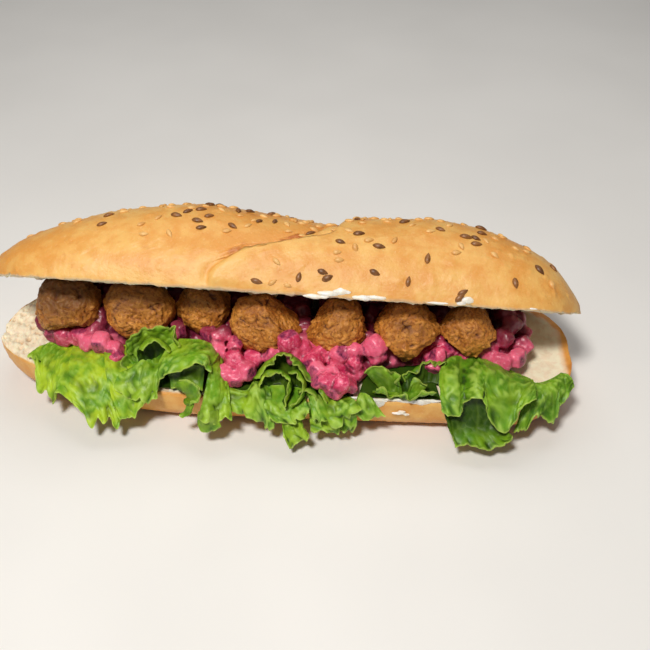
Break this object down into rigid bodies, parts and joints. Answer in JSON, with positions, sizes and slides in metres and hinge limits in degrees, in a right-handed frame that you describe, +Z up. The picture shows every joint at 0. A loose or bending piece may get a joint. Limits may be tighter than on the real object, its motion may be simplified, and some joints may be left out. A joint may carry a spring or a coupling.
{
  "type": "meatball baguette",
  "caption": "Split crusty baguette with its top half tilted up on fried meatballs, pink beetroot salad and frilled lettuce, seeded on top.",
  "frame": {"origin": "middle of the flat base that the loaf rests on", "axes": "+X along the loaf, -Y towards the open side of the sandwich, +Z up"},
  "size_m": [0.2454, 0.0902, 0.0779],
  "materials": {
    "crust": "baked golden crust over white crumb",
    "meat": "fried, rough and slightly greasy",
    "lettuce": "fresh frilled leaf",
    "beetroot": "diced beetroot in a glossy pink dressing"
  },
  "bodies": {
    "root": {"bread_lower_half": "crust", "bread_upper_half": "crust", "meatball_1": "meat", "meatball_2": "meat", "meatball_3": "meat", "meatball_4": "meat", "meatball_5": "meat", "meatball_6": "meat", "meatball_7": "meat", "lettuce_leaf_1": "lettuce", "lettuce_leaf_2": "lettuce", "lettuce_leaf_3": "lettuce", "lettuce_leaf_4": "lettuce", "lettuce_leaf_5": "lettuce", "beetroot_salad": "beetroot"}
  },
  "joints": []
}
